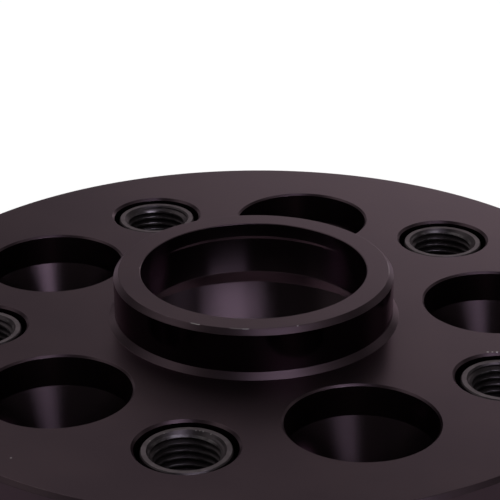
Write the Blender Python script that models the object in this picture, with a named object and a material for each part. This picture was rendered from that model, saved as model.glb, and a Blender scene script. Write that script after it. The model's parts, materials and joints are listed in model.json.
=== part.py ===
"""Bolt-on wheel adapter spacer, 5x100 hub to 5x112 wheel, hub-centric 57.1 mm.

One turned and drilled aluminium disc with a centring lip, and five steel
threaded bushes pressed in from the hub side. Metres, +Z up. The hub face lies
on Z = 0, the wheel face is at Z = THICKNESS and the lip stands above it. The
first bolt hole is on +X.
"""
import math

import bmesh
import bpy

MM = 0.001

# Disc
THICKNESS = 25.0 * MM
DISC_R = 79.2 * MM
DISC_EDGE = 0.8 * MM
BOLT_COUNT = 5

# Centring lip on the wheel side, for a 57.1 mm wheel bore
LIP_R = 28.5 * MM
LIP_HEIGHT = 10.0 * MM
LIP_TOP_CHAMFER = 1.0 * MM
LIP_FOOT_CHAMFER = 1.2 * MM
LIP_BORE_R = 23.0 * MM
LIP_BORE_EDGE = 0.35 * MM

# Bore behind the lip's mouth, and the recess that takes the hub's spigot
LIP_LAND = 2.95 * MM
RELIEF = 0.9 * MM
RELIEF_LENGTH = 7.8 * MM
SPIGOT_R = 28.55 * MM
SPIGOT_LEAD_IN = 1.5 * MM

# Bolt holes on the hub's bolt circle, with 60 degree seats
HUB_PCD = 100.0 * MM
HEAD_R = 14.45 * MM
HEAD_EDGE = 0.4 * MM
HEAD_DEPTH = 6.65 * MM
SEAT_HALF_ANGLE = math.radians(30.0)
BOLT_R = 7.5 * MM
BOLT_EDGE = 0.5 * MM

# Threaded bushes on the wheel's bolt circle, M14x1.5
WHEEL_PCD = 112.0 * MM
GAP = 0.3 * MM
THREAD_MINOR_R = 6.2 * MM
THREAD_MOUTH_DEPTH = 1.15 * MM
THREAD_MOUTH_R = THREAD_MINOR_R + THREAD_MOUTH_DEPTH
BUSH_NECK_WALL = 1.15 * MM
BUSH_NECK_R = THREAD_MOUTH_R + BUSH_NECK_WALL
BUSH_NECK_LENGTH = 6.0 * MM
BUSH_NECK_CLEARANCE = 1.1 * MM
BUSH_TOP_DROP = 0.7 * MM
BUSH_EDGE = 0.25 * MM
BUSH_HOLE_R = BUSH_NECK_R + BUSH_NECK_CLEARANCE
BUSH_HOLE_EDGE = 0.5 * MM
BUSH_BODY_R = BUSH_HOLE_R - GAP
FLANGE_WIDTH = 2.7 * MM
FLANGE_R = BUSH_BODY_R + FLANGE_WIDTH
FLANGE_HEIGHT = 3.0 * MM
FLANGE_DROP = 0.3 * MM
FLANGE_EDGE = 0.5 * MM
FLANGE_CLEARANCE = 0.4 * MM
FLANGE_SEAT_R = FLANGE_R + FLANGE_CLEARANCE
FLANGE_SEAT_EDGE = 0.4 * MM
SERRATIONS = 20
SERRATION_DEPTH = 0.4 * MM
SERRATION_END = 1.2 * MM

# Finishes
ANODISED = (0.063, 0.046, 0.053)
ANODISED_ROUGHNESS = 0.30
STEEL = (0.060, 0.055, 0.054)
STEEL_ROUGHNESS = 0.32

DISC_STEPS = 120
HOLE_STEPS = 40
SHARP_ANGLE = math.radians(25.0)

LIP_TOP = THICKNESS + LIP_HEIGHT
HALF_PITCH = math.pi / BOLT_COUNT
OVERSHOOT = 1.0 * MM


def clear_scene():
    for obj in list(bpy.data.objects):
        bpy.data.objects.remove(obj, do_unlink=True)
    for mesh in list(bpy.data.meshes):
        bpy.data.meshes.remove(mesh)
    for material in list(bpy.data.materials):
        bpy.data.materials.remove(material)


def make_metal(name, colour, roughness):
    material = bpy.data.materials.new(name)
    material.use_nodes = True
    shader = material.node_tree.nodes["Principled BSDF"]
    shader.inputs["Base Color"].default_value = (*colour, 1.0)
    shader.inputs["Roughness"].default_value = roughness
    shader.inputs["Metallic"].default_value = 1.0
    material.diffuse_color = (*colour, 1.0)
    return material


def new_object(name, bm, material, parent=None):
    bmesh.ops.recalc_face_normals(bm, faces=bm.faces)
    mesh = bpy.data.meshes.new(name)
    bm.to_mesh(mesh)
    bm.free()
    obj = bpy.data.objects.new(name, mesh)
    bpy.context.collection.objects.link(obj)
    if material:
        mesh.materials.append(material)
    obj.parent = parent
    return obj


def turn_ring(profile, steps, notch_at=None):
    """Closed (radius, z) profile turned about Z, as a ring with an open middle."""
    bm = bmesh.new()
    rings = []
    for i in range(steps):
        angle = 2.0 * math.pi * i / steps
        ring = []
        for radius, z in profile:
            r = radius - notch_at((radius, z), i) if notch_at else radius
            ring.append(bm.verts.new((r * math.cos(angle), r * math.sin(angle), z)))
        rings.append(ring)
    count = len(profile)
    for i in range(steps):
        a, b = rings[i], rings[(i + 1) % steps]
        for k in range(count):
            n = (k + 1) % count
            bm.faces.new((a[k], b[k], b[n], a[n]))
    return bm


def turn_plug(profile, steps):
    """Open (radius, z) profile turned about Z, closed by a flat cap at each end."""
    bm = bmesh.new()
    rings = []
    for radius, z in profile:
        rings.append([
            bm.verts.new((radius * math.cos(2.0 * math.pi * i / steps),
                          radius * math.sin(2.0 * math.pi * i / steps), z))
            for i in range(steps)
        ])
    for low, high in zip(rings, rings[1:]):
        for i in range(steps):
            n = (i + 1) % steps
            bm.faces.new((low[i], low[n], high[n], high[i]))
    bm.faces.new(rings[0][::-1])
    bm.faces.new(rings[-1])
    return bm


def shade_turned(obj):
    bpy.ops.object.select_all(action="DESELECT")
    obj.select_set(True)
    bpy.context.view_layer.objects.active = obj
    bpy.ops.object.shade_smooth()
    obj.data.set_sharp_from_angle(angle=SHARP_ANGLE)


def on_circle(diameter, index, offset):
    angle = 2.0 * math.pi * index / BOLT_COUNT + offset
    radius = diameter / 2.0
    return (radius * math.cos(angle), radius * math.sin(angle), 0.0), angle


def make_cutter(name, profile, location, angle, parent):
    cutter = new_object(name, turn_plug(profile, HOLE_STEPS), None, parent)
    cutter.location = location
    cutter.rotation_euler = (0.0, 0.0, angle)
    cutter.hide_render = True
    cutter.display_type = "WIRE"
    return cutter


def cut_away(obj, cutters):
    """Subtracts the cutters and keeps the result, so that its new edges can be marked sharp."""
    for cutter in cutters:
        cut = obj.modifiers.new(cutter.name, "BOOLEAN")
        cut.operation = "DIFFERENCE"
        cut.solver = "EXACT"
        cut.object = cutter
    depsgraph = bpy.context.evaluated_depsgraph_get()
    mesh = bpy.data.meshes.new_from_object(obj.evaluated_get(depsgraph))
    obj.modifiers.clear()
    obj.data = mesh
    mesh.name = obj.name
    for cutter in cutters:
        bpy.data.objects.remove(cutter, do_unlink=True)


def disc_profile():
    relief_r = LIP_BORE_R + RELIEF
    relief_top = LIP_TOP - LIP_LAND - RELIEF
    cone_top = relief_top - RELIEF_LENGTH
    cone_foot = cone_top - (SPIGOT_R - relief_r)
    return [
        (DISC_R - DISC_EDGE, 0.0),
        (DISC_R, DISC_EDGE),
        (DISC_R, THICKNESS - DISC_EDGE),
        (DISC_R - DISC_EDGE, THICKNESS),
        (LIP_R + LIP_FOOT_CHAMFER, THICKNESS),
        (LIP_R, THICKNESS + LIP_FOOT_CHAMFER),
        (LIP_R, LIP_TOP - LIP_TOP_CHAMFER),
        (LIP_R - LIP_TOP_CHAMFER, LIP_TOP),
        (LIP_BORE_R + LIP_BORE_EDGE, LIP_TOP),
        (LIP_BORE_R, LIP_TOP - LIP_BORE_EDGE),
        (LIP_BORE_R, LIP_TOP - LIP_LAND),
        (relief_r, relief_top),
        (relief_r, cone_top),
        (SPIGOT_R, cone_foot),
        (SPIGOT_R, SPIGOT_LEAD_IN),
        (SPIGOT_R + SPIGOT_LEAD_IN, 0.0),
    ]


def bolt_hole_profile():
    seat_top = THICKNESS - HEAD_DEPTH
    seat_foot = seat_top - (HEAD_R - BOLT_R) / math.tan(SEAT_HALF_ANGLE)
    return [
        (BOLT_R + BOLT_EDGE + OVERSHOOT, -OVERSHOOT),
        (BOLT_R, BOLT_EDGE),
        (BOLT_R, seat_foot),
        (HEAD_R, seat_top),
        (HEAD_R, THICKNESS - HEAD_EDGE),
        (HEAD_R + HEAD_EDGE + OVERSHOOT, THICKNESS + OVERSHOOT),
    ]


def bush_hole_profile():
    seat_top = FLANGE_DROP + FLANGE_HEIGHT + GAP
    return [
        (FLANGE_SEAT_R + FLANGE_SEAT_EDGE + OVERSHOOT, -OVERSHOOT),
        (FLANGE_SEAT_R, FLANGE_SEAT_EDGE),
        (FLANGE_SEAT_R, seat_top),
        (BUSH_HOLE_R, seat_top),
        (BUSH_HOLE_R, THICKNESS - BUSH_HOLE_EDGE),
        (BUSH_HOLE_R + BUSH_HOLE_EDGE + OVERSHOOT, THICKNESS + OVERSHOOT),
    ]


def build_disc(root, material):
    disc = new_object("spacer_disc", turn_ring(disc_profile(), DISC_STEPS), material, root)
    cutters = []
    for i in range(BOLT_COUNT):
        place, angle = on_circle(HUB_PCD, i, 0.0)
        cutters.append(make_cutter(f"cut_bolt_hole_{i + 1}", bolt_hole_profile(), place, angle, root))
        place, angle = on_circle(WHEEL_PCD, i, HALF_PITCH)
        cutters.append(make_cutter(f"cut_bush_hole_{i + 1}", bush_hole_profile(), place, angle, root))
    cut_away(disc, cutters)
    shade_turned(disc)
    return disc


def build_bush(name, root, material, place, angle):
    """Flanged bush with a serrated press-fit band and a plain neck at the wheel face."""
    foot = FLANGE_DROP
    shoulder = foot + FLANGE_HEIGHT
    top = THICKNESS - BUSH_TOP_DROP
    neck = top - BUSH_NECK_LENGTH
    land = BUSH_BODY_R - BUSH_NECK_R
    mouth = THREAD_MOUTH_R - THREAD_MINOR_R
    band_low = shoulder + SERRATION_END
    band_high = neck - land - SERRATION_END
    band = [(BUSH_BODY_R, band_low + SERRATION_DEPTH), (BUSH_BODY_R, band_high)]
    profile = [
        (FLANGE_R - FLANGE_EDGE, foot),
        (FLANGE_R, foot + FLANGE_EDGE),
        (FLANGE_R, shoulder),
        (BUSH_BODY_R - SERRATION_DEPTH, shoulder),
        (BUSH_BODY_R - SERRATION_DEPTH, band_low),
        *band,
        (BUSH_NECK_R, neck),
        (BUSH_NECK_R, top - BUSH_EDGE),
        (BUSH_NECK_R - BUSH_EDGE, top),
        (THREAD_MOUTH_R, top),
        (THREAD_MINOR_R, top - mouth),
        (THREAD_MINOR_R, foot + mouth),
        (THREAD_MOUTH_R, foot),
    ]

    def valley(point, step):
        return SERRATION_DEPTH if point in band and step % 2 else 0.0

    bush = new_object(name, turn_ring(profile, 2 * SERRATIONS, valley), material, root)
    bush.location = place
    bush.rotation_euler = (0.0, 0.0, angle)
    shade_turned(bush)
    return bush


def main():
    clear_scene()
    anodised = make_metal("black_anodised_aluminium", ANODISED, ANODISED_ROUGHNESS)
    steel = make_metal("dark_phosphated_steel", STEEL, STEEL_ROUGHNESS)
    root = bpy.data.objects.new("adapter_axis", None)
    bpy.context.collection.objects.link(root)
    build_disc(root, anodised)
    for i in range(BOLT_COUNT):
        place, angle = on_circle(WHEEL_PCD, i, HALF_PITCH)
        build_bush(f"threaded_insert_{i + 1}", root, steel, place, angle)
    bpy.context.view_layer.update()


main()
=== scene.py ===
"""Looks of the wheel spacer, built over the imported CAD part. Metres, +Z up.

The hub face lies on Z = 0, the wheel face is at THICKNESS and the first bolt
hole is on +X, as in the part. A turned section is a list of (radius, z)
corners that keeps the solid on its left.
"""
import json
import math

import bpy
import numpy as np
from mathutils import Matrix, Vector
from mathutils.geometry import tessellate_polygon


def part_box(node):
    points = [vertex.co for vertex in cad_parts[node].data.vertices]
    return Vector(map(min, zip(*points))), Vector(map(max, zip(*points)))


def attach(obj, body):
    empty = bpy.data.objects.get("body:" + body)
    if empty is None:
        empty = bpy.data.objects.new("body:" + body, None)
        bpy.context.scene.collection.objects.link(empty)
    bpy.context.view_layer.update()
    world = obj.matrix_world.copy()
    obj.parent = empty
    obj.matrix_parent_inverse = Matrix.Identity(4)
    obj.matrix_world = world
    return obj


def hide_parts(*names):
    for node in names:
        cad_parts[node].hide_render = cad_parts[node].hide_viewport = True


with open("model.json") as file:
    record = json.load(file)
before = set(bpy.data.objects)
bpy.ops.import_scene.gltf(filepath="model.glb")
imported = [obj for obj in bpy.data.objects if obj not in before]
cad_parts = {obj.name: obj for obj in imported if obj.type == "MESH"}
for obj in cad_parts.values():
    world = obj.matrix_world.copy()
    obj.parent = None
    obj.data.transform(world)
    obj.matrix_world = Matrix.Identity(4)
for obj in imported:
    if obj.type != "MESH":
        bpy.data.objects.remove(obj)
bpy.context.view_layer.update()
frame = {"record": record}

MM = 0.001

# Sizes read from the frame
disc_low, disc_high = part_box("spacer_disc")
DISC_R = disc_high.x
LIP_TOP = disc_high.z
THICKNESS = next(m["pos_m"][2] for m in frame["record"]["mounts"] if m["name"] == "wheel_face")

# The disc's section and holes, as in the part but for a finer break at the lip's mouth
BOLT_COUNT = 5
HUB_PCD = 100.0 * MM
WHEEL_PCD = 112.0 * MM
DISC_EDGE = 0.8 * MM
LIP_R = 28.5 * MM
LIP_TOP_CHAMFER = 1.0 * MM
LIP_FOOT_CHAMFER = 1.2 * MM
LIP_BORE_R = 23.0 * MM
LIP_BORE_EDGE = 0.15 * MM
LIP_LAND = 2.95 * MM
RELIEF = 0.9 * MM
RELIEF_LENGTH = 7.8 * MM
SPIGOT_R = 28.55 * MM
SPIGOT_LEAD_IN = 1.5 * MM
HEAD_R = 14.45 * MM
HEAD_EDGE = 0.4 * MM
HEAD_DEPTH = 6.65 * MM
SEAT_HALF_ANGLE = math.radians(30.0)
BOLT_R = 7.5 * MM
BOLT_EDGE = 0.5 * MM
BUSH_HOLE_R = 9.6 * MM
BUSH_HOLE_EDGE = 0.5 * MM
FLANGE_SEAT_R = 12.4 * MM
FLANGE_SEAT_EDGE = 0.4 * MM
FLANGE_SEAT_DEPTH = 3.6 * MM

# The inserts, as in the part
BUSH_BODY_R = 9.3 * MM
BUSH_NECK_R = 8.5 * MM
BUSH_NECK_LENGTH = 6.0 * MM
BUSH_TOP_DROP = 0.7 * MM
BUSH_EDGE = 0.25 * MM
FLANGE_R = 12.0 * MM
FLANGE_HEIGHT = 3.0 * MM
FLANGE_DROP = 0.3 * MM
FLANGE_EDGE = 0.5 * MM
THREAD_MINOR_R = 6.2 * MM
THREAD_MOUTH_R = 7.35 * MM
SERRATIONS = 20
SERRATION_DEPTH = 0.4 * MM
SERRATION_END = 1.2 * MM
# Degrees that each insert, with the start of its thread, is turned about its own axis
INSERT_TURNS = (10.0, 130.0, 250.0, 60.0, 200.0)

# The thread, which the part leaves to this script
THREAD_MAJOR_R = 7.0 * MM
THREAD_PITCH = 1.5 * MM
THREAD_CREST = 0.375 * MM
THREAD_ROOT = 0.20 * MM
THREAD_BEVEL = 0.07 * MM

# Edge breaks, and how finely round forms are cut
BREAK = 0.12 * MM
FINE_BREAK = 0.06 * MM
LAP = 1.0 * MM
RIM_STEPS = 360
LIP_STEPS = 600
HOLE_STEPS = 96
INSERT_STEPS = 80
ARC_STEPS = 4

# Specks and rubbed spots seen in the photograph: x, y, z and radius in millimetres
SPOTS = (
    (-48.7, -54.1, 25.0, 0.25),
    (44.1, -22.5, 25.0, 0.30),
    (45.0, -22.6, 25.0, 0.25),
    (45.9, -22.7, 25.0, 0.30),
)
INSERT_SPOTS = (
    (-21.0, -46.8, 24.3, 0.22),
    (-23.7, -49.4, 24.3, 0.22),
    (-15.1, -46.3, 24.2, 0.20),
    (-14.4, -46.5, 24.2, 0.18),
    (-13.8, -46.8, 24.2, 0.22),
    (-12.5, -47.9, 24.2, 0.18),
)
DENT_DEPTH = 0.10 * MM
RUB_WIDTH = 0.20 * MM
# Rubbed lengths of the lip's edges: middle azimuth and half length in degrees, radius, z and strength
RUBS = (
    (-119.9, 1.6, 27.5, 35.0, 0.6),
    (-118.4, 0.9, 27.5, 35.0, 1.0),
    (-102.3, 2.8, 27.5, 35.0, 0.35),
    (-98.7, 1.4, 27.5, 35.0, 0.8),
    (-77.6, 0.35, 27.5, 35.0, 0.9),
    (-6.0, 6.0, 27.5, 35.0, 0.25),
    (173.0, 0.5, 23.2, 34.9, 0.5),
)


class Shell:
    """Points, faces and one normal for each face corner, gathered for one mesh.

    Faces on a rounded edge are marked, so that a material can show them as worn.
    """

    def __init__(self):
        self.points = []
        self.faces = []
        self.normals = []
        self.slots = []
        self.edges = []

    def add_face(self, corners, normals, slot=0, edge=0.0):
        self.faces.append(corners)
        self.normals.extend(normals)
        self.slots.append(slot)
        self.edges.append(edge)

    def mesh(self, name, materials):
        mesh = bpy.data.meshes.new(name)
        mesh.from_pydata(self.points, [], self.faces)
        mesh.polygons.foreach_set("use_smooth", [True] * len(self.faces))
        for material in materials:
            mesh.materials.append(material)
        mesh.polygons.foreach_set("material_index", self.slots)
        mesh.normals_split_custom_set(self.normals)
        mesh.attributes.new("edge", "FLOAT", "FACE").data.foreach_set("value", self.edges)
        mesh.update()
        obj = bpy.data.objects.new(name, mesh)
        bpy.context.scene.collection.objects.link(obj)
        return obj


def section(corners):
    """Rounds the (radius, z, fillet) corners into points of (radius, z, normal r, normal z, edge).

    The last value is 1 where the stretch that follows is the rounding of an outer edge.
    """
    points = []
    last = len(corners) - 1
    for i, (r, z, fillet) in enumerate(corners):
        here = np.array((r, z))
        before = here - corners[i - 1][:2] if i else corners[1][:2] - here
        after = corners[i + 1][:2] - here if i < last else before
        before = before / np.linalg.norm(before)
        after = after / np.linalg.norm(after)
        normal = np.array((before[1], -before[0]))
        turn = math.atan2(before[0] * after[1] - before[1] * after[0], before @ after)
        if abs(turn) < 1e-6:
            points.append((r, z, *normal, 0.0))
            continue
        side = math.copysign(1.0, turn)
        start = here - before * fillet * math.tan(abs(turn) / 2.0)
        centre = start - normal * fillet * side
        for k in range(ARC_STEPS + 1):
            c = math.cos(turn * k / ARC_STEPS)
            s = math.sin(turn * k / ARC_STEPS)
            way = np.array((normal[0] * c - normal[1] * s, normal[0] * s + normal[1] * c))
            rounding = 1.0 if turn > 0.0 and k < ARC_STEPS else 0.0
            points.append((*(centre + way * fillet * side), *way, rounding))
    return points


def add_turned(shell, profile, steps, centre=(0.0, 0.0), slot_at=None, shift=None):
    """Turns a section about a vertical axis. Returns its first and last rings of points."""
    base = len(shell.points)
    count = len(profile)
    angles = 2.0 * np.pi * np.arange(steps) / steps
    cos, sin = np.cos(angles)[:, None], np.sin(angles)[:, None]
    r, z, nr, nz, edges = np.array(profile).T
    places = np.stack([centre[0] + r * cos, centre[1] + r * sin, z + 0.0 * cos], -1)
    normals = np.stack([nr * cos, nr * sin, nz + 0.0 * cos], -1)
    if shift is not None:
        places, normals = shift(angles, places, normals)
    shell.points.extend(map(tuple, places.reshape(-1, 3)))
    flat = [tuple(n) for n in normals.reshape(-1, 3)]
    slots = [slot_at(*profile[k][:2]) if slot_at else 0 for k in range(count)]
    for i in range(steps):
        j = (i + 1) % steps
        for k in range(count - 1):
            quad = (i * count + k, j * count + k, j * count + k + 1, i * count + k + 1)
            shell.add_face([base + q for q in quad], [flat[q] for q in quad], slots[k], edges[k])
    first = [base + i * count for i in range(steps)]
    final = [base + i * count + count - 1 for i in range(steps)]
    return first, final


def add_flat(shell, loops, up):
    """Fills the plane between closed loops of points, the outer one first."""
    order = [index for loop in loops for index in loop]
    triangles = tessellate_polygon([[Vector(shell.points[p]) for p in loop] for loop in loops])
    normal = (0.0, 0.0, 1.0 if up else -1.0)
    for triangle in triangles:
        a, b, c = (order[t] for t in triangle)
        pa, pb, pc = (np.array(shell.points[p][:2]) for p in (a, b, c))
        area = (pb[0] - pa[0]) * (pc[1] - pa[1]) - (pb[1] - pa[1]) * (pc[0] - pa[0])
        corners = [a, b, c] if (area > 0.0) == up else [a, c, b]
        shell.add_face(corners, [normal] * 3)


def on_circle(diameter, index, offset=0.0):
    angle = 2.0 * math.pi * index / BOLT_COUNT + offset
    return diameter / 2.0 * math.cos(angle), diameter / 2.0 * math.sin(angle)


def rim_section():
    edge_r = DISC_R - DISC_EDGE
    return section([
        (edge_r - LAP, 0.0, 0.0),
        (edge_r, 0.0, BREAK),
        (DISC_R, DISC_EDGE, BREAK),
        (DISC_R, THICKNESS - DISC_EDGE, BREAK),
        (edge_r, THICKNESS, BREAK),
        (edge_r - LAP, THICKNESS, 0.0),
    ])


def lip_section():
    relief_r = LIP_BORE_R + RELIEF
    relief_top = LIP_TOP - LIP_LAND - RELIEF
    cone_top = relief_top - RELIEF_LENGTH
    cone_foot = cone_top - (SPIGOT_R - relief_r)
    foot_r = LIP_R + LIP_FOOT_CHAMFER
    lead_r = SPIGOT_R + SPIGOT_LEAD_IN
    half = LIP_TOP_CHAMFER / 2.0
    return section([
        (foot_r + LAP, THICKNESS, 0.0),
        (foot_r, THICKNESS, FINE_BREAK),
        (LIP_R, THICKNESS + LIP_FOOT_CHAMFER, FINE_BREAK),
        (LIP_R, LIP_TOP - 2.0 * LIP_TOP_CHAMFER, 0.0),
        (LIP_R, LIP_TOP - LIP_TOP_CHAMFER, BREAK),
        (LIP_R - half, LIP_TOP - half, 0.0),
        (LIP_R - LIP_TOP_CHAMFER, LIP_TOP, BREAK),
        (LIP_R - LIP_TOP_CHAMFER - half, LIP_TOP, 0.0),
        (LIP_BORE_R + LIP_BORE_EDGE, LIP_TOP, FINE_BREAK),
        (LIP_BORE_R, LIP_TOP - LIP_BORE_EDGE, FINE_BREAK),
        (LIP_BORE_R, LIP_TOP - LIP_LAND, FINE_BREAK),
        (relief_r, relief_top, FINE_BREAK),
        (relief_r, cone_top, FINE_BREAK),
        (SPIGOT_R, cone_foot, FINE_BREAK),
        (SPIGOT_R, SPIGOT_LEAD_IN, BREAK),
        (lead_r, 0.0, BREAK),
        (lead_r + LAP, 0.0, 0.0),
    ])


def bolt_hole_section():
    seat_top = THICKNESS - HEAD_DEPTH
    seat_foot = seat_top - (HEAD_R - BOLT_R) / math.tan(SEAT_HALF_ANGLE)
    return section([
        (HEAD_R + HEAD_EDGE + LAP, THICKNESS, 0.0),
        (HEAD_R + HEAD_EDGE, THICKNESS, FINE_BREAK),
        (HEAD_R, THICKNESS - HEAD_EDGE, FINE_BREAK),
        (HEAD_R, seat_top, FINE_BREAK),
        (BOLT_R, seat_foot, FINE_BREAK),
        (BOLT_R, BOLT_EDGE, BREAK),
        (BOLT_R + BOLT_EDGE, 0.0, BREAK),
        (BOLT_R + BOLT_EDGE + LAP, 0.0, 0.0),
    ])


def bush_hole_section():
    return section([
        (BUSH_HOLE_R + BUSH_HOLE_EDGE + LAP, THICKNESS, 0.0),
        (BUSH_HOLE_R + BUSH_HOLE_EDGE, THICKNESS, FINE_BREAK),
        (BUSH_HOLE_R, THICKNESS - BUSH_HOLE_EDGE, FINE_BREAK),
        (BUSH_HOLE_R, FLANGE_SEAT_DEPTH, FINE_BREAK),
        (FLANGE_SEAT_R, FLANGE_SEAT_DEPTH, FINE_BREAK),
        (FLANGE_SEAT_R, FLANGE_SEAT_EDGE, FINE_BREAK),
        (FLANGE_SEAT_R + FLANGE_SEAT_EDGE, 0.0, FINE_BREAK),
        (FLANGE_SEAT_R + FLANGE_SEAT_EDGE + LAP, 0.0, 0.0),
    ])


FACED, BORED, DRILLED = range(3)


def lip_slot(radius, z):
    """The lip's top and chamfers are faced like the disc, its walls and the bore are smoother."""
    inside = radius < LIP_R - 2.0 * LIP_TOP_CHAMFER and z < LIP_TOP - LIP_BORE_EDGE / 2.0
    outside = THICKNESS + LIP_FOOT_CHAMFER - FINE_BREAK < z < LIP_TOP - LIP_TOP_CHAMFER - BREAK
    return BORED if inside or outside or z < THICKNESS - LIP_FOOT_CHAMFER else FACED


def hole_slot(radius, z):
    return DRILLED if z < THICKNESS - FINE_BREAK else FACED


def dent_lip(angles, places, normals):
    """Knocks the lip's edges back a little where the photograph shows them rubbed."""
    radius = np.hypot(places[:, :, 0], places[:, :, 1])
    height = places[:, :, 2]
    for middle, half, at_radius, at_z, strength in RUBS:
        aside = (np.degrees(angles) - middle + 180.0) % 360.0 - 180.0
        along = np.clip(1.0 - np.abs(aside) / half, 0.0, 1.0)[:, None]
        apart = np.hypot(radius - at_radius * MM, height - at_z * MM)
        near = np.clip(1.0 - apart / (2.0 * RUB_WIDTH), 0.0, 1.0)
        depth = DENT_DEPTH * strength * np.sqrt(along) * near
        places -= normals * depth[:, :, None]
    return places, normals


def build_disc(materials):
    shell = Shell()
    rim_foot, rim_top = add_turned(shell, rim_section(), RIM_STEPS)
    lip_foot, recess = add_turned(shell, lip_section(), LIP_STEPS, slot_at=lip_slot, shift=dent_lip)
    tops = [rim_top, lip_foot]
    feet = [rim_foot, recess]
    half_pitch = math.pi / BOLT_COUNT
    for i in range(BOLT_COUNT):
        for profile, place in ((bolt_hole_section(), on_circle(HUB_PCD, i)),
                               (bush_hole_section(), on_circle(WHEEL_PCD, i, half_pitch))):
            top, foot = add_turned(shell, profile, HOLE_STEPS, place, slot_at=hole_slot)
            tops.append(top)
            feet.append(foot)
    add_flat(shell, tops, up=True)
    add_flat(shell, feet, up=False)
    return shell.mesh("turned_disc", materials)


def insert_section(foot, top):
    shoulder = foot + FLANGE_HEIGHT
    neck = top - BUSH_NECK_LENGTH
    root_r = BUSH_BODY_R - SERRATION_DEPTH
    band_low = shoulder + SERRATION_END
    band_high = neck - (BUSH_BODY_R - BUSH_NECK_R) - SERRATION_END
    mouth = THREAD_MOUTH_R - THREAD_MAJOR_R
    return section([
        (THREAD_MAJOR_R, foot + mouth, 0.0),
        (THREAD_MOUTH_R, foot, FINE_BREAK),
        (FLANGE_R - FLANGE_EDGE, foot, BREAK),
        (FLANGE_R, foot + FLANGE_EDGE, BREAK),
        (FLANGE_R, shoulder, FINE_BREAK),
        (root_r, shoulder, FINE_BREAK),
        (root_r, band_low, FINE_BREAK),
        (BUSH_BODY_R, band_low + SERRATION_DEPTH, FINE_BREAK),
        (BUSH_BODY_R, band_high, FINE_BREAK),
        (BUSH_NECK_R, neck, FINE_BREAK),
        (BUSH_NECK_R, top - BUSH_EDGE, FINE_BREAK),
        (BUSH_NECK_R - BUSH_EDGE, top, FINE_BREAK),
        (THREAD_MOUTH_R, top, FINE_BREAK),
        (THREAD_MAJOR_R, top - mouth, 0.0),
    ])


def serrate(low, high):
    """Cuts the grooves of the press-fit band between two heights."""
    def shift(angles, places, normals):
        wave = 0.5 - 0.5 * np.cos(angles * SERRATIONS)
        z = places[:, :, 2]
        radius = np.hypot(places[:, :, 0], places[:, :, 1])
        inside = (z > low) & (z < high) & (radius > BUSH_BODY_R - SERRATION_DEPTH / 2.0)
        scale = np.where(inside, 1.0 - SERRATION_DEPTH * wave[:, None] / radius, 1.0)
        places[:, :, 0] *= scale
        places[:, :, 1] *= scale
        return places, normals
    return shift


def add_thread(shell, ring_low, ring_high, low, high):
    """Right-hand internal thread between two full rings at the major radius."""
    flank = (THREAD_PITCH - THREAD_CREST - THREAD_ROOT) / 2.0
    middle = (THREAD_MINOR_R + THREAD_MAJOR_R) / 2.0
    flank_slope = (THREAD_MAJOR_R - THREAD_MINOR_R) / flank
    bevel = THREAD_BEVEL / math.hypot(1.0, flank_slope)
    rows = [
        (0.0, THREAD_MINOR_R),
        (THREAD_CREST - THREAD_BEVEL, THREAD_MINOR_R),
        (THREAD_CREST + bevel, THREAD_MINOR_R + bevel * flank_slope),
        (THREAD_CREST + flank / 2.0, middle),
        (THREAD_CREST + flank, THREAD_MAJOR_R),
        (THREAD_CREST + flank + THREAD_ROOT, THREAD_MAJOR_R),
        (THREAD_PITCH - flank / 2.0, middle),
    ]
    per_turn = len(rows)
    turns = math.ceil((high - low) / THREAD_PITCH) + 1
    grid = []
    for i in range(INSERT_STEPS + 1):
        share = i / INSERT_STEPS
        angle = 2.0 * math.pi * share
        column = []
        for j in range((turns + 1) * per_turn):
            offset, radius = rows[j % per_turn]
            z = low + THREAD_PITCH * (share - 1.0 + j // per_turn) + offset
            if z <= low:
                column.append(ring_low[i % INSERT_STEPS])
                continue
            if z >= high:
                column.append(ring_high[i % INSERT_STEPS])
                continue
            depth = min(z - low, high - z)
            radius = max(radius, THREAD_MAJOR_R - depth)
            if i == INSERT_STEPS:
                column.append(grid[0][j + per_turn])
                continue
            column.append(len(shell.points))
            shell.points.append((radius * math.cos(angle), radius * math.sin(angle), z))
        grid.append(column)
    for i in range(INSERT_STEPS):
        for j in range(len(grid[0]) - 1):
            quad = [grid[i][j + 1], grid[i + 1][j + 1], grid[i + 1][j], grid[i][j]]
            corners = [q for n, q in enumerate(quad) if q != quad[n - 1]]
            if len(set(corners)) < 3:
                continue
            add_thread_face(shell, corners, 1.0 if j % per_turn < 2 else 0.0)


def add_thread_face(shell, corners, crest):
    """One face of the thread, with normals that run smoothly round the axis."""
    places = [np.array(shell.points[c]) for c in corners]
    face = np.cross(places[1] - places[0], places[2] - places[0])
    face = face / np.linalg.norm(face)
    middle = sum(places) / len(places)
    angle = math.atan2(middle[1], middle[0])
    normals = []
    for place in places:
        turn = math.atan2(place[1], place[0]) - angle
        c, s = math.cos(turn), math.sin(turn)
        normals.append((face[0] * c - face[1] * s, face[0] * s + face[1] * c, face[2]))
    shell.add_face(corners, normals, edge=crest)


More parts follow.
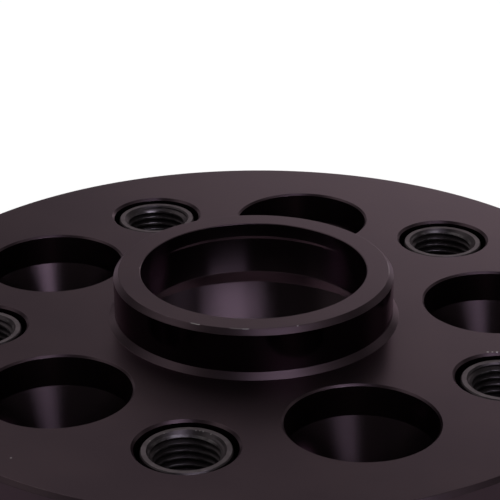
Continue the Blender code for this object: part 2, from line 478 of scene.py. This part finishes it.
def build_insert(index, steel):
    foot = FLANGE_DROP
    top = THICKNESS - BUSH_TOP_DROP
    profile = insert_section(foot, top)
    shell = Shell()
    band_low = foot + FLANGE_HEIGHT + SERRATION_END
    band_high = top - BUSH_NECK_LENGTH - (BUSH_BODY_R - BUSH_NECK_R) - SERRATION_END / 2.0
    ring_low, ring_high = add_turned(shell, profile, INSERT_STEPS, shift=serrate(band_low, band_high))
    mouth = THREAD_MOUTH_R - THREAD_MAJOR_R
    add_thread(shell, ring_low, ring_high, foot + mouth, top - mouth)
    obj = shell.mesh(f"steel_insert_{index + 1}", [steel])
    x, y = on_circle(WHEEL_PCD, index, math.pi / BOLT_COUNT)
    turn = math.radians(INSERT_TURNS[index])
    obj.data.transform(Matrix.Translation((x, y, 0.0)) @ Matrix.Rotation(turn, 4, "Z"))
    return obj


class Nodes:
    """Short ways to add and join nodes in one tree."""

    def __init__(self, tree):
        self.tree = tree

    def add(self, kind, inputs=(), **settings):
        node = self.tree.nodes.new(kind)
        for name, value in settings.items():
            setattr(node, name, value)
        for socket, value in dict(inputs).items():
            self.put(node.inputs[socket], value)
        return node

    def put(self, socket, value):
        if isinstance(value, bpy.types.NodeSocket):
            self.tree.links.new(value, socket)
        else:
            socket.default_value = value

    def math(self, operation, *values, clamp=False):
        node = self.add("ShaderNodeMath", enumerate(values), operation=operation, use_clamp=clamp)
        return node.outputs[0]

    def ramp(self, value, low, high):
        """Rises smoothly from 0 at low to 1 at high."""
        node = self.add("ShaderNodeMapRange", {"Value": value, "From Min": low, "From Max": high},
                        interpolation_type="SMOOTHSTEP")
        return node.outputs["Result"]

    def mix(self, factor, first, second):
        node = self.add("ShaderNodeMix", {"Factor": factor}, data_type="RGBA")
        self.put(node.inputs[6], first)
        self.put(node.inputs[7], second)
        return node.outputs[2]


# Finishes
FACED_ROUGHNESS = 0.30
BORED_ROUGHNESS = 0.16
DRILLED_ROUGHNESS = 0.22
ANODISED = (0.0670, 0.0455, 0.0535, 1.0)
ANODISED_DEEP = (0.0600, 0.0410, 0.0495, 1.0)
ANODISED_EDGE_TINT = (1.0, 0.87, 0.94, 1.0)
ANODISED_WORN = (0.42, 0.40, 0.40, 1.0)
STEEL = (0.070, 0.058, 0.063, 1.0)
STEEL_DEEP = (0.052, 0.043, 0.047, 1.0)
STEEL_END = (0.130, 0.108, 0.117, 1.0)
STEEL_EDGE_TINT = (1.0, 0.90, 0.95, 1.0)
STEEL_WORN = (0.34, 0.31, 0.32, 1.0)
STEEL_ROUGHNESS = 0.34
END_ROUGHNESS = 0.42


# How strongly rounded edges, thread crests and specks show as worn
EDGE_WEAR = 0.12
CREST_WEAR = 0.4
SPECK_WEAR = 0.6

# Patterns in the finishes: noise scale per metre, and depth of the relief
CLOUD_SCALE = 55.0
GRAIN_SCALE = 5200.0
TOOL_MARK_SCALE = 2600.0
PATCH_SCALE = 420.0
TOOL_MARK_DEPTH = 0.0015 * MM
STEEL_CLOUD_SCALE = 300.0
STEEL_GRAIN_SCALE = 6000.0
STEEL_PATCH_SCALE = 500.0
STEEL_GRAIN_DEPTH = 0.003 * MM


def new_material(name):
    material = bpy.data.materials.new(name)
    material.use_nodes = True
    tree = material.node_tree
    return material, Nodes(tree), tree.nodes["Principled BSDF"]


def part_place(nodes):
    """The place on the part, its distance from the axle and its azimuth in degrees."""
    place = nodes.add("ShaderNodeTexCoord").outputs["Object"]
    x, y, z = nodes.add("ShaderNodeSeparateXYZ", {0: place}).outputs
    squares = nodes.math("ADD", nodes.math("MULTIPLY", x, x), nodes.math("MULTIPLY", y, y))
    radius = nodes.math("SQRT", squares)
    azimuth = nodes.math("DEGREES", nodes.math("ARCTAN2", y, x))
    return place, radius, azimuth, z


def noise(nodes, place, scale, detail=2.0, **settings):
    node = nodes.add("ShaderNodeTexNoise", {"Scale": scale, "Detail": detail}, **settings)
    socket = "W" if settings.get("noise_dimensions") == "1D" else "Vector"
    nodes.put(node.inputs[socket], place)
    return node.outputs["Fac"]


def spot_mask(nodes, place, spots):
    total = 0.0
    for x, y, z, size in spots:
        apart = nodes.add("ShaderNodeVectorMath", {0: place, 1: (x * MM, y * MM, z * MM)},
                          operation="DISTANCE").outputs["Value"]
        total = nodes.math("MAXIMUM", nodes.ramp(apart, size * MM, 0.5 * size * MM), total)
    return total


def rub_mask(nodes, radius, azimuth, z, rubs):
    total = 0.0
    for middle, half, at_radius, at_z, strength in rubs:
        aside = nodes.math("WRAP", nodes.math("SUBTRACT", azimuth, middle), 180.0, -180.0)
        along = nodes.ramp(nodes.math("ABSOLUTE", aside), half * 1.3, half * 0.6)
        dr = nodes.math("SUBTRACT", radius, at_radius * MM)
        dz = nodes.math("SUBTRACT", z, at_z * MM)
        squares = nodes.math("ADD", nodes.math("MULTIPLY", dr, dr), nodes.math("MULTIPLY", dz, dz))
        apart = nodes.math("SQRT", squares)
        near = nodes.ramp(apart, RUB_WIDTH, 0.4 * RUB_WIDTH)
        rub = nodes.math("MULTIPLY", nodes.math("MULTIPLY", along, near), strength)
        total = nodes.math("MAXIMUM", rub, total)
    return total


def anodised_material(name, roughness, faced):
    """Dyed, anodised aluminium with fine tool marks: rings on a face, rings up a bore's wall."""
    material, nodes, shader = new_material(name)
    place, radius, azimuth, z = part_place(nodes)
    cloud = noise(nodes, place, CLOUD_SCALE, 3.0)
    grain = noise(nodes, place, GRAIN_SCALE, 1.0)
    lines = noise(nodes, radius if faced else z, TOOL_MARK_SCALE, 2.0, noise_dimensions="1D")
    colour = nodes.mix(nodes.ramp(cloud, 0.35, 0.65), ANODISED_DEEP, ANODISED)
    worn = nodes.add("ShaderNodeAttribute", attribute_name="edge").outputs["Fac"]
    patchy = nodes.ramp(noise(nodes, place, PATCH_SCALE, 3.0), 0.45, 0.80)
    worn = nodes.math("MULTIPLY", nodes.math("MULTIPLY", worn, patchy), EDGE_WEAR)
    if faced:
        worn = nodes.math("MAXIMUM", worn, spot_mask(nodes, place, SPOTS))
        worn = nodes.math("MAXIMUM", worn, rub_mask(nodes, radius, azimuth, z, RUBS))
    nodes.put(shader.inputs["Base Color"], nodes.mix(worn, colour, ANODISED_WORN))
    shader.inputs["Metallic"].default_value = 1.0
    shader.inputs["Specular Tint"].default_value = ANODISED_EDGE_TINT
    finish = nodes.math("MULTIPLY_ADD", lines, 0.05, roughness - 0.045)
    nodes.put(shader.inputs["Roughness"], nodes.math("MULTIPLY_ADD", cloud, 0.04, finish))
    relief = nodes.math("ADD", lines, nodes.math("MULTIPLY", grain, 0.5))
    bump = nodes.add("ShaderNodeBump", {"Height": relief, "Strength": 0.6, "Distance": TOOL_MARK_DEPTH})
    nodes.put(shader.inputs["Normal"], bump.outputs["Normal"])
    return material


def steel_material():
    """Dark phosphated steel, paler on its turned ends and rubbed bright on its thread crests."""
    material, nodes, shader = new_material("phosphated_steel")
    place, _, _, z = part_place(nodes)
    cloud = noise(nodes, place, STEEL_CLOUD_SCALE, 3.0)
    grain = noise(nodes, place, STEEL_GRAIN_SCALE, 2.0)
    colour = nodes.mix(nodes.ramp(cloud, 0.35, 0.65), STEEL_DEEP, STEEL)
    middle = (FLANGE_DROP + THICKNESS - BUSH_TOP_DROP) / 2.0
    reach = middle - FLANGE_DROP
    end = nodes.math("ABSOLUTE", nodes.math("SUBTRACT", z, middle))
    end = nodes.ramp(end, reach - FINE_BREAK, reach - FINE_BREAK / 4.0)
    patchy = nodes.ramp(noise(nodes, place, STEEL_PATCH_SCALE, 3.0), 0.35, 0.75)
    paler = nodes.math("MULTIPLY", end, nodes.math("MULTIPLY_ADD", patchy, 0.5, 0.6))
    colour = nodes.mix(paler, colour, STEEL_END)
    worn = nodes.add("ShaderNodeAttribute", attribute_name="edge").outputs["Fac"]
    worn = nodes.math("MULTIPLY", nodes.math("MULTIPLY", worn, patchy), CREST_WEAR)
    specks = nodes.math("MULTIPLY", spot_mask(nodes, place, INSERT_SPOTS), SPECK_WEAR)
    worn = nodes.math("MAXIMUM", worn, specks)
    nodes.put(shader.inputs["Base Color"], nodes.mix(worn, colour, STEEL_WORN))
    shader.inputs["Metallic"].default_value = 1.0
    shader.inputs["Specular Tint"].default_value = STEEL_EDGE_TINT
    finish = nodes.math("MULTIPLY_ADD", end, END_ROUGHNESS - STEEL_ROUGHNESS, STEEL_ROUGHNESS)
    nodes.put(shader.inputs["Roughness"], nodes.math("MULTIPLY_ADD", cloud, 0.10, finish))
    bump = nodes.add("ShaderNodeBump", {"Height": grain, "Strength": 0.5, "Distance": STEEL_GRAIN_DEPTH})
    nodes.put(shader.inputs["Normal"], bump.outputs["Normal"])
    return material


# The camera, fitted to the photograph's circles
CAMERA_DISTANCE = 363.6 * MM
CAMERA_HEIGHT = 177.4 * MM
CAMERA_PITCH = 0.4221
CAMERA_YAW = -0.0019
CAMERA_ROLL = -0.0074
CAMERA_LENS = 141.79
SENSOR_WIDTH = 36.0
CLIP_START = 0.01
PART_TURN = math.radians(-5.31)


def add_camera():
    """Looks along +Y and down, then all turned so that a bolt hole falls on +X."""
    data = bpy.data.cameras.new("photo_camera")
    data.lens = CAMERA_LENS
    data.sensor_width = SENSOR_WIDTH
    data.clip_start = CLIP_START
    camera = bpy.data.objects.new("photo_camera", data)
    bpy.context.scene.collection.objects.link(camera)
    sin_yaw, cos_yaw = math.sin(CAMERA_YAW), math.cos(CAMERA_YAW)
    sin_pitch, cos_pitch = math.sin(CAMERA_PITCH), math.cos(CAMERA_PITCH)
    forward = Vector((sin_yaw * cos_pitch, cos_yaw * cos_pitch, -sin_pitch))
    level = Vector((cos_yaw, -sin_yaw, 0.0))
    upright = level.cross(forward)
    cos_roll, sin_roll = math.cos(CAMERA_ROLL), math.sin(CAMERA_ROLL)
    right = level * cos_roll + upright * sin_roll
    up = upright * cos_roll - level * sin_roll
    pose = Matrix((right, up, -forward)).transposed().to_4x4()
    pose.translation = Vector((0.0, -CAMERA_DISTANCE, THICKNESS + CAMERA_HEIGHT))
    camera.matrix_world = Matrix.Rotation(PART_TURN, 4, "Z") @ pose
    bpy.context.scene.camera = camera


# The floor, as the camera and the light see it and as reflections see it
FLOOR_SIZE = 6.0
FLOOR_DROP = 0.05 * MM
FLOOR_COLOUR = (0.93, 0.93, 0.93, 1.0)
FLOOR_REFLECTED = (0.36, 0.34, 0.37, 1.0)
FLOOR_ROUGHNESS = 0.9


def add_floor():
    """A pale floor that shows in reflections, but lets the light from below into the part's holes."""
    mesh = bpy.data.meshes.new("floor")
    size, low = FLOOR_SIZE / 2.0, -FLOOR_DROP
    corners = [(-size, -size, low), (size, -size, low), (size, size, low), (-size, size, low)]
    mesh.from_pydata(corners, [], [(0, 1, 2, 3)])
    floor = bpy.data.objects.new("floor", mesh)
    bpy.context.scene.collection.objects.link(floor)
    material, nodes, shader = new_material("floor")
    shader.inputs["Roughness"].default_value = FLOOR_ROUGHNESS
    shader.inputs["Specular IOR Level"].default_value = 0.0
    _, radius, _, _ = part_place(nodes)
    path = nodes.add("ShaderNodeLightPath")
    colour = nodes.mix(path.outputs["Is Glossy Ray"], FLOOR_COLOUR, FLOOR_REFLECTED)
    nodes.put(shader.inputs["Base Color"], colour)
    reflected = nodes.math("MAXIMUM", path.outputs["Is Glossy Ray"], path.outputs["Is Shadow Ray"])
    open_below = nodes.math("MULTIPLY", nodes.math("LESS_THAN", radius, DISC_R), reflected)
    clear = nodes.add("ShaderNodeBsdfTransparent")
    surfaces = {0: open_below, 1: shader.outputs[0], 2: clear.outputs[0]}
    floor_shader = nodes.add("ShaderNodeMixShader", surfaces)
    output = nodes.tree.nodes["Material Output"]
    nodes.put(output.inputs["Surface"], floor_shader.outputs[0])
    mesh.materials.append(material)


# The studio round the part: soft windows of light, each with its middle and half size in
# degrees. Azimuth runs from the camera's side towards its right, elevation up from level.
WARM = (1.0, 1.0, 0.98)
COOL = (1.04, 1.03, 1.24)
WINDOWS = (
    # azimuth, half width, elevation, half height, softness, level, colour
    (28.0, 14.0, 46.0, 5.0, 5.0, 11.0, COOL),
    (26.0, 22.0, 34.0, 6.0, 5.0, 0.3, COOL),
    (8.0, 14.0, 66.0, 6.0, 6.0, 1.2, COOL),
    (27.0, 19.0, -31.0, 4.0, 5.0, 1.35, COOL),
    (13.0, 20.0, -14.0, 4.0, 4.0, 29.0, COOL),
    (165.0, 18.0, 8.0, 18.0, 12.0, 0.87, WARM),
    (158.0, 14.0, 22.0, 8.0, 8.0, 0.28, WARM),
    (-110.0, 42.0, 50.0, 14.0, 12.0, 0.59, WARM),
    (-160.0, 16.0, 50.0, 12.0, 12.0, 1.6, WARM),
    (0.0, 180.0, -90.0, 25.0, 12.0, 0.83, WARM),
    (-80.0, 18.0, -46.0, 14.0, 12.0, 0.62, WARM),
    (80.0, 16.0, -48.0, 12.0, 12.0, 0.43, WARM),
    (-145.0, 18.0, 5.0, 12.0, 12.0, 0.28, WARM),
    (118.0, 12.0, 22.0, 10.0, 12.0, 0.31, WARM),
    (65.0, 12.0, -12.0, 8.0, 10.0, 1.0, COOL),
    (78.0, 20.0, 58.0, 12.0, 12.0, 0.32, WARM),
)
# What reflections see between the windows, and the plain light on the floor
ROOM_LEVEL = 0.03
FLOOR_LIGHT = 1.12


def window_angles(nodes):
    """Azimuth and elevation of the direction looked in, in degrees, as two sockets."""
    direction = nodes.add("ShaderNodeTexCoord").outputs["Generated"]
    x, y, z = nodes.add("ShaderNodeSeparateXYZ", {0: direction}).outputs
    cos_turn, sin_turn = math.cos(PART_TURN), math.sin(PART_TURN)
    right = nodes.math("ADD", nodes.math("MULTIPLY", x, cos_turn), nodes.math("MULTIPLY", y, sin_turn))
    nearer = nodes.math("ADD", nodes.math("MULTIPLY", x, sin_turn), nodes.math("MULTIPLY", y, -cos_turn))
    azimuth = nodes.math("DEGREES", nodes.math("ARCTAN2", right, nearer))
    elevation = nodes.math("DEGREES", nodes.math("ARCSINE", z))
    return azimuth, elevation


def window_light(nodes, azimuth, elevation, window):
    middle, half_width, height, half_height, soft, level = window
    aside = nodes.math("WRAP", nodes.math("SUBTRACT", azimuth, middle), 180.0, -180.0)
    across = nodes.ramp(nodes.math("ABSOLUTE", aside), half_width + soft, half_width - soft)
    above = nodes.math("ABSOLUTE", nodes.math("SUBTRACT", elevation, height))
    along = nodes.ramp(above, half_height + soft, half_height - soft)
    return nodes.math("MULTIPLY", nodes.math("MULTIPLY", across, along), level)


def set_world():
    """Reflections see the windows, the floor gets plain light, and the camera sees white."""
    world = bpy.data.worlds.new("studio")
    bpy.context.scene.world = world
    world.use_nodes = True
    nodes = Nodes(world.node_tree)
    azimuth, elevation = window_angles(nodes)
    light = (ROOM_LEVEL, ROOM_LEVEL, ROOM_LEVEL)
    for *window, colour in WINDOWS:
        level = window_light(nodes, azimuth, elevation, window)
        light = nodes.add("ShaderNodeVectorMath", {0: colour, 1: level, 2: light},
                          operation="MULTIPLY_ADD").outputs["Vector"]
    path = nodes.add("ShaderNodeLightPath")
    plain = (FLOOR_LIGHT, FLOOR_LIGHT, FLOOR_LIGHT, 1.0)
    seen = nodes.mix(path.outputs["Is Glossy Ray"], plain, light)
    seen = nodes.mix(path.outputs["Is Camera Ray"], seen, (1.0, 1.0, 1.0, 1.0))
    nodes.put(world.node_tree.nodes["Background"].inputs["Color"], seen)


def main():
    steel = steel_material()
    disc = build_disc([
        anodised_material("anodised_faced", FACED_ROUGHNESS, faced=True),
        anodised_material("anodised_bored", BORED_ROUGHNESS, faced=False),
        anodised_material("anodised_drilled", DRILLED_ROUGHNESS, faced=False),
    ])
    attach(disc, "root")
    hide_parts("spacer_disc")
    for i in range(BOLT_COUNT):
        insert = build_insert(i, steel)
        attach(insert, "root")
        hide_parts(f"threaded_insert_{i + 1}")
    add_camera()
    add_floor()
    set_world()
    bpy.context.scene.view_settings.view_transform = "Standard"


main()
